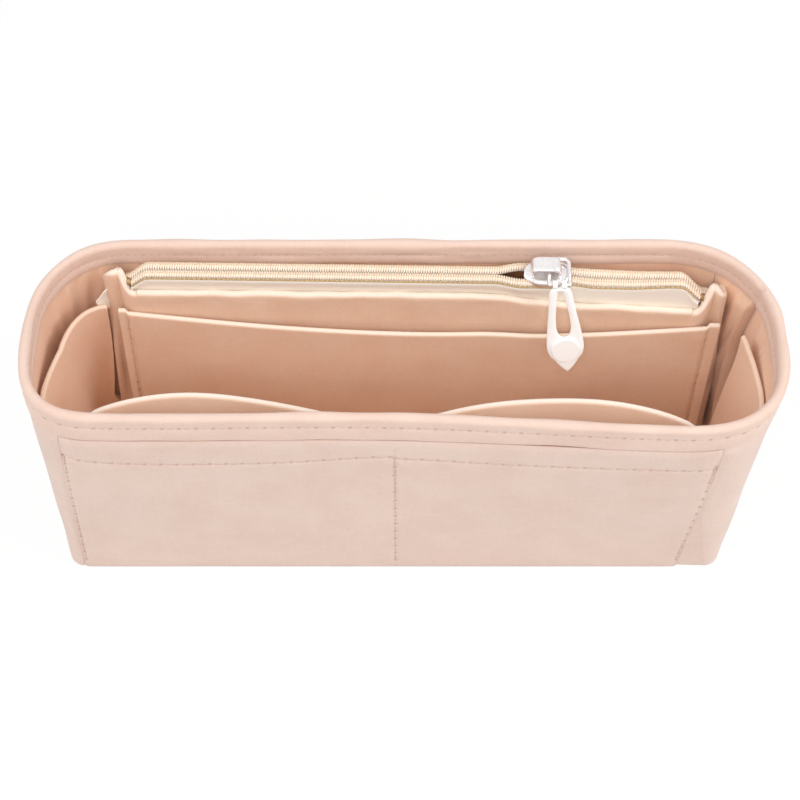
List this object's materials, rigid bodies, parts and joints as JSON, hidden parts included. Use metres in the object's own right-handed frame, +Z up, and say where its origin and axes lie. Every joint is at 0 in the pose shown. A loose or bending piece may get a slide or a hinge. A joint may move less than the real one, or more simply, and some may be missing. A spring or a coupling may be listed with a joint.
{
  "type": "handbag divider",
  "caption": "Felt insert that stands in a handbag, with a flared oval rim, inner and outer slip pockets and a zipped pouch along the back whose slider has a hinged pull.",
  "frame": {"origin": "on the underside, at the upright seam in the middle of the front, halfway between front and back", "axes": "+X along the length to the viewer's right, +Y to the back where the zipped pouch is, +Z up"},
  "size_m": [0.2402, 0.075, 0.0985],
  "materials": {
    "felt_outside": "matte wool-blend felt, blush beige",
    "felt_inside": "matte felt, peach",
    "board": "stiff pressed fibre sheet, hidden",
    "zip_tape": "woven tape, cream",
    "zip_teeth": "coil teeth, pale gold",
    "metal": "polished silver plate"
  },
  "bodies": {
    "shell": {"base_panel": "felt_outside", "base_board": "board", "base_lining": "felt_inside", "front_wall": "felt_outside", "back_wall": "felt_outside", "left_end_wall": "felt_outside", "right_end_wall": "felt_outside", "rim_binding": "felt_outside", "outer_pocket": "felt_outside", "front_inner_pocket": "felt_inside", "left_side_pocket": "felt_inside", "right_side_pocket": "felt_inside", "pouch_front_panel": "felt_inside", "pouch_back_panel": "felt_inside", "pouch_left_gusset": "felt_inside", "pouch_right_gusset": "felt_inside", "pouch_bottom": "felt_inside", "pouch_slip_pocket": "felt_inside", "zip_tape_front": "zip_tape", "zip_tape_rear": "zip_tape", "zip_teeth_front": "zip_teeth", "zip_teeth_rear": "zip_teeth", "zip_stop_left": "metal", "zip_stop_right": "metal", "zip_tape_tail": "zip_tape"},
    "slider": {"zip_slider": "metal", "pull_eye": "metal"},
    "pull": {"pull_frame": "metal", "pull_disc": "metal"}
  },
  "joints": [
    {"name": "zip_slide", "type": "slide", "parent": "shell", "child": "slider", "axis": [0.9999, -0.0168, 0], "range_m": [-0.1245, 0.039]},
    {"name": "pull_swing", "type": "hinge", "parent": "slider", "child": "pull", "pos_m": [0.05284, 0.01725, 0.09525], "axis": [-0.9999, 0.0168, 0], "range_deg": [0, 175]}
  ]
}
